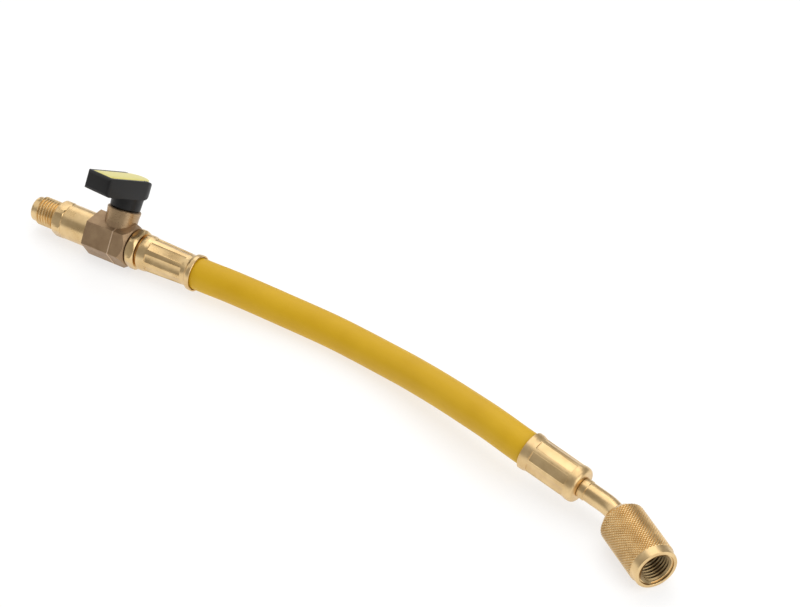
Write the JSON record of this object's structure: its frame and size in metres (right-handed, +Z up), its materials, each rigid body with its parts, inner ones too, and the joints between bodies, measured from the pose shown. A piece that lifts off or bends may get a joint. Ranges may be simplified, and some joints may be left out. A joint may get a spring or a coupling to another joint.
{
  "type": "refrigerant charging hose",
  "caption": "Short rubber charging hose with a ball valve, quarter-turn handle and male flare end, and a bent tube with a loose knurled nut.",
  "frame": {"origin": "on the floor, in the middle of the valve body's lower flat, under the stem's axis", "axes": "+Z up, +X along the knurled nut's axis out of its mouth, as the hose lies on a level floor"},
  "size_m": [0.2641, 0.1403, 0.0383],
  "materials": {
    "polished_brass": "polished, lightly scratched",
    "forged_brass": "matte brown, as forged",
    "white_plastic": "smooth white seal",
    "polished_steel": "plated and polished",
    "black_plastic": "satin moulded",
    "yellow_plastic": "satin moulded",
    "yellow_rubber": "satin smooth cover"
  },
  "bodies": {
    "hose_body": {"male_adaptor": "polished_brass", "valve_body": "forged_brass", "seat_hose_side": "white_plastic", "seat_male_side": "white_plastic", "hose_tail": "polished_brass", "valve_ferrule": "polished_brass", "hose": "yellow_rubber", "elbow_ferrule": "polished_brass", "elbow_tube": "polished_brass", "seal_ring": "white_plastic"},
    "valve_handle": {"handle": "black_plastic", "handle_insert": "yellow_plastic", "valve_stem": "polished_brass", "valve_ball": "polished_steel"},
    "flare_nut": {"knurled_nut": "polished_brass"}
  },
  "joints": [
    {"name": "handle_turn", "type": "hinge", "parent": "hose_body", "child": "valve_handle", "pos_m": [0, 0, 0.00765], "axis": [-0.2918, 0.406, 0.866], "range_deg": [-78.8, 11.2]},
    {"name": "nut_turn", "type": "hinge", "parent": "hose_body", "child": "flare_nut", "pos_m": [0.20498, 0.10694, 0.0082], "axis": [1, 0, 0], "continuous": true}
  ]
}
